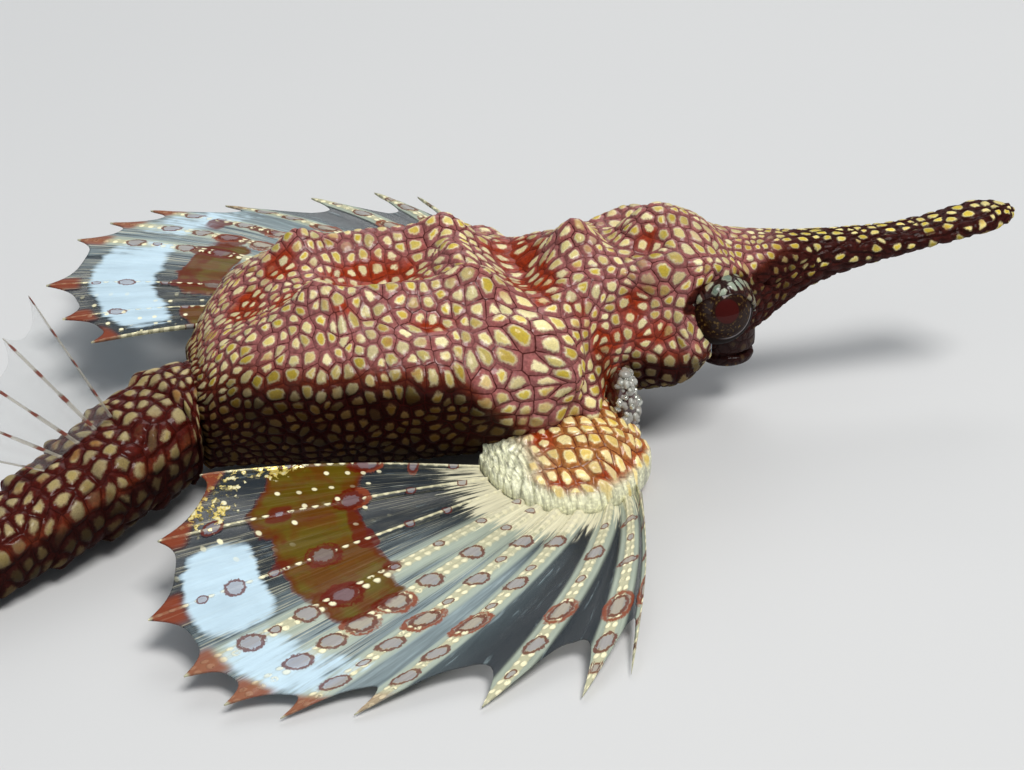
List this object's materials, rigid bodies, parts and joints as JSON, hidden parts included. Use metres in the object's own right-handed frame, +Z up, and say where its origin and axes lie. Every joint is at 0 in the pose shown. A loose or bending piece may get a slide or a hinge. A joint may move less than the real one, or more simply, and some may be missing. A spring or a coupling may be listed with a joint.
{
  "type": "short dragonfish",
  "caption": "Small armoured sea moth resting on the seabed, with wing-like pectoral fins spread flat, a long snout and a ringed tail curved to one side.",
  "frame": {"origin": "centre of the bounding box at the floor, under the middle of the fish", "axes": "+X towards the snout, +Y to the fish's left, +Z up from the floor"},
  "size_m": [0.0844, 0.0594, 0.0173],
  "materials": {
    "hide": "matt, raised polygon plates with dark grooves",
    "snout_hide": "matt, dark with rows of pale bumps",
    "tail_hide": "matt, ringed armour with pale cells",
    "eye": "wet and clear over a brown iris",
    "lip": "soft and matt",
    "pad_skin": "matt, cream plates with dark edges",
    "gill": "soft, wet and thin",
    "wing": "satin membrane between banded rays",
    "small_fin": "thin satin membrane with fine rays"
  },
  "bodies": {
    "root": {"trunk": "hide", "head": "hide", "rostrum": "snout_hide", "mouth": "lip", "eye_left": "eye", "eye_right": "eye", "tail_front": "tail_hide", "tail_middle": "tail_hide", "tail_rear": "tail_hide", "pectoral_base_left": "pad_skin", "pectoral_base_right": "pad_skin", "gill_flap_left": "gill", "gill_flap_right": "gill", "pectoral_fin_left": "wing", "pectoral_fin_right": "wing", "pelvic_fin_left": "small_fin", "pelvic_fin_right": "small_fin", "dorsal_fin": "small_fin", "anal_fin": "small_fin", "caudal_fin": "small_fin"}
  },
  "joints": []
}
